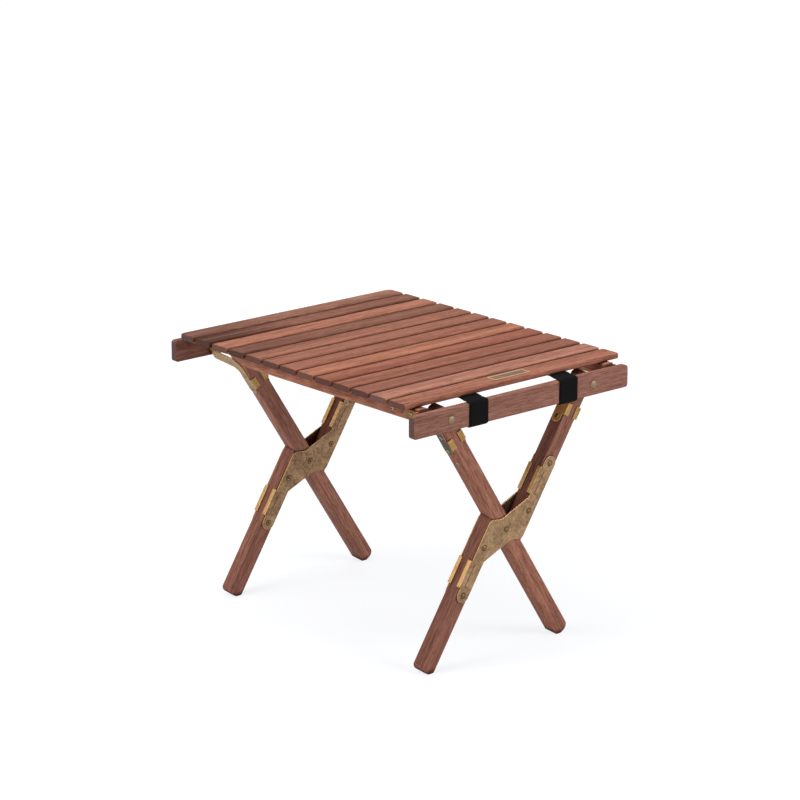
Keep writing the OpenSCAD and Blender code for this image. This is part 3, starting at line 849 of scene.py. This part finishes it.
def finish_brass():
    """Cross plates and their rivets frame by frame, then the other brass and steel pieces."""
    plate_tones = {
        "near": (BRASS_TONE, BRASS_PATINA, 0.0),
        "far": (FAR_PLATE_TONE, FAR_PLATE_PATINA, 1.0),
    }
    for side, (tone, patina, hollow) in plate_tones.items():
        rivets = rivet_places(f"{side}_centre_rivet") + rivet_places(f"{side}_leg_b_rivets")
        beads = bead_lines(side)
        brass = antique_brass(f"{side}_plate_brass", tone, patina, rivets=rivets, beads=beads)
        rivet = antique_brass(
            f"{side}_rivet_brass", RIVET_TONE, RIVET_PATINA, rivets=rivets, hollow=hollow
        )
        for name in (f"{side}_front_plate", f"{side}_back_plate"):
            finish_node(name, brass)
        for name in (f"{side}_centre_rivet", f"{side}_leg_b_rivets"):
            finish_node(name, rivet)
    fitting = antique_brass("fitting_brass", FITTING_TONE, FITTING_PATINA)
    # Top plates: painted shade on their faces that turn down and left
    top_plate = antique_brass("top_plate_brass", FITTING_TONE, FITTING_PATINA, dark_side=0.9)
    corner = antique_brass("corner_brass", CORNER_TONE, CORNER_PATINA, side_highlight=0.1)
    heads = antique_brass("pale_bolt_heads", HEAD_TONE, HEAD_TONE, rough=0.62)
    steel = antique_brass("dull_steel", STEEL_TONE, STEEL_TONE, STEEL_TONE)
    for name in nodes:
        if name.endswith("top_plates"):
            finish_node(name, top_plate)
        elif name.endswith("bracket"):
            finish_node(name, fitting)
        elif name == "corner_brackets":
            finish_node(name, corner)
        elif name.endswith("bolts"):
            finish_node(name, heads)
        elif name.endswith(("screws", "leg_a_rivets")):
            finish_node(name, steel)
    plate = antique_brass(
        "nameplate_brass", NAMEPLATE_TONE, NAMEPLATE_PATINA, rim_of="nameplate", metal=0.62
    )
    finish_node("nameplate", plate)


def light_panel(name, place, size, power):
    """A square soft light that faces the table."""
    lamp = bpy.data.lights.new(name, "AREA")
    lamp.shape = "SQUARE"
    lamp.size = size
    lamp.energy = power
    panel = bpy.data.objects.new(name, lamp)
    panel.location = place
    panel.rotation_euler = (Vector(LAMP_AIM) - Vector(place)).to_track_quat("-Z", "Y").to_euler()
    bpy.context.scene.collection.objects.link(panel)


def seen_rays(f):
    """1 for rays from the camera, a mirror or glass, which show the plain background."""
    ray = f.node("ShaderNodeLightPath", output="Is Camera Ray")
    mirror = f.node("ShaderNodeLightPath", output="Is Glossy Ray")
    glass = f.node("ShaderNodeLightPath", output="Is Transmission Ray")
    adding = {"operation": "ADD", "use_clamp": True}
    return f.node("ShaderNodeMath", adding, {0: ray + mirror, 1: glass})


def pale_floor():
    """Plain floor that is nearly white where it is seen, and white far off, and keeps the shadow."""
    material, f = new_finish("pale_floor")
    place = f.node("ShaderNodeTexCoord", output="Object")
    seen = seen_rays(f)
    glow = f.mix(f.ramp(f.length(place), *FLOOR_FADE), opaque(FLOOR_LIFT), opaque(WHITE))
    f.surface(
        Base_Color=f.mix(seen, opaque(FLOOR_TONE), opaque(FLOOR_SEEN)),
        Roughness=0.9,
        Specular_IOR_Level=0.0,
        Emission_Color=f.mix(seen, opaque(BLACK), glow),
        Emission_Strength=1.0,
    )
    mesh = bpy.data.meshes.new("floor")
    h = FLOOR_HALF
    mesh.from_pydata([(-h, -h, 0), (h, -h, 0), (h, h, 0), (-h, h, 0)], [], [(0, 1, 2, 3)])
    floor = new_object("floor", mesh, material)


def set_studio():
    """Plain pale floor, even soft light and the camera of the photograph."""
    scene = bpy.context.scene
    scene.view_settings.view_transform = "Standard"
    pale_floor()
    world = bpy.data.worlds.new("studio")
    world.use_nodes = True
    scene.world = world
    w = Finish(world.node_tree)
    colour = w.mix(seen_rays(w), opaque(AMBIENT), opaque(WHITE))
    sky = w.node("ShaderNodeBackground", {}, {"Color": colour})
    w.node("ShaderNodeOutputWorld", {}, {"Surface": sky})
    for lamp in LAMPS:
        light_panel(*lamp)
    lens = bpy.data.cameras.new("view")
    lens.lens = CAMERA_LENS
    lens.sensor_width = CAMERA_SENSOR
    camera = bpy.data.objects.new("view", lens)
    camera.location = CAMERA_PLACE
    camera.rotation_euler = Vector(CAMERA_AIM).to_track_quat("-Z", "Y").to_euler()
    scene.collection.objects.link(camera)
    scene.camera = camera


webbing = flat_weave("black_webbing")
weave_bands(webbing)
wrap_ends(webbing)
finish_wood()
finish_brass()
set_studio()
